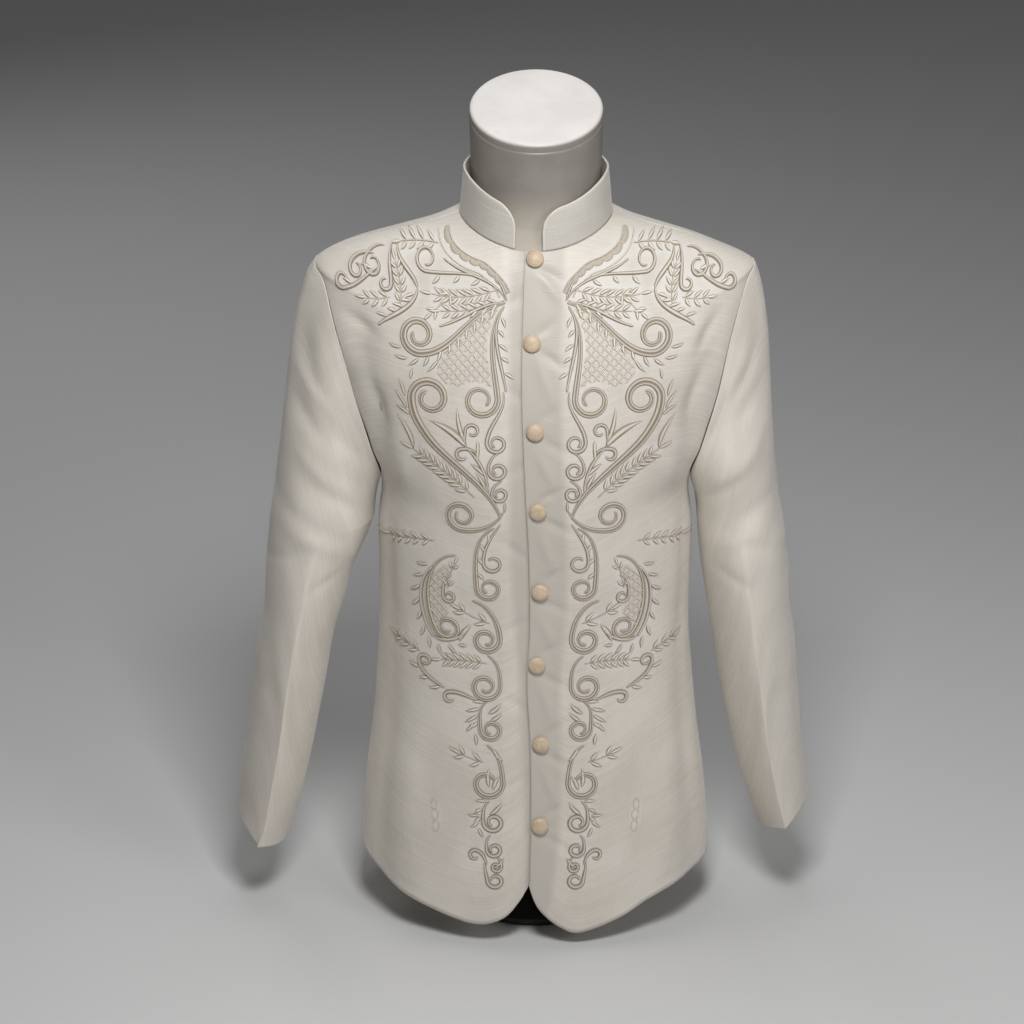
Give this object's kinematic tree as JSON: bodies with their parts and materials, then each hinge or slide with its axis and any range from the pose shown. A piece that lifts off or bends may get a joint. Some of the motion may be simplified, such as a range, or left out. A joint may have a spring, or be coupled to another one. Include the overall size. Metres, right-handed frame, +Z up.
{
  "type": "embroidered barong coat on a limbless dress form",
  "caption": "Ivory barong coat with a standing collar, embroidered fronts, set-in sleeves and a covered-button front, worn by a smooth limbless dress form on a low steel stand.",
  "frame": {"origin": "centre of the stand plate's underside, under the middle of the dress form", "axes": "+Z up; the coat's front faces -Y; +X is the wearer's left, which is on the viewer's right"},
  "size_m": [0.604, 0.2641, 0.8837],
  "materials": {
    "cloth": "soft sheen, fine plain weave",
    "collar_cloth": "stiffened, satin edge",
    "embroidery_thread": "raised satin stitch",
    "button_cloth": "cloth-covered, satin",
    "form": "painted, satin",
    "black_steel": "black powder coat"
  },
  "bodies": {
    "root": {"front_left": "cloth", "front_right": "cloth", "back": "cloth", "sleeve_left": "cloth", "sleeve_right": "cloth", "collar": "collar_cloth", "scroll_left_chest": "embroidery_thread", "scroll_left_middle": "embroidery_thread", "scroll_left_heart": "embroidery_thread", "scroll_left_waist": "embroidery_thread", "scroll_left_crescent": "embroidery_thread", "scroll_left_skirt": "embroidery_thread", "scroll_right_chest": "embroidery_thread", "scroll_right_middle": "embroidery_thread", "scroll_right_heart": "embroidery_thread", "scroll_right_waist": "embroidery_thread", "scroll_right_crescent": "embroidery_thread", "scroll_right_skirt": "embroidery_thread", "button_1": "button_cloth", "button_2": "button_cloth", "button_3": "button_cloth", "button_4": "button_cloth", "button_5": "button_cloth", "button_6": "button_cloth", "button_7": "button_cloth", "button_8": "button_cloth", "form_torso": "form", "neck_cap": "form", "stand_plate": "black_steel", "stand_post": "black_steel"}
  },
  "joints": []
}
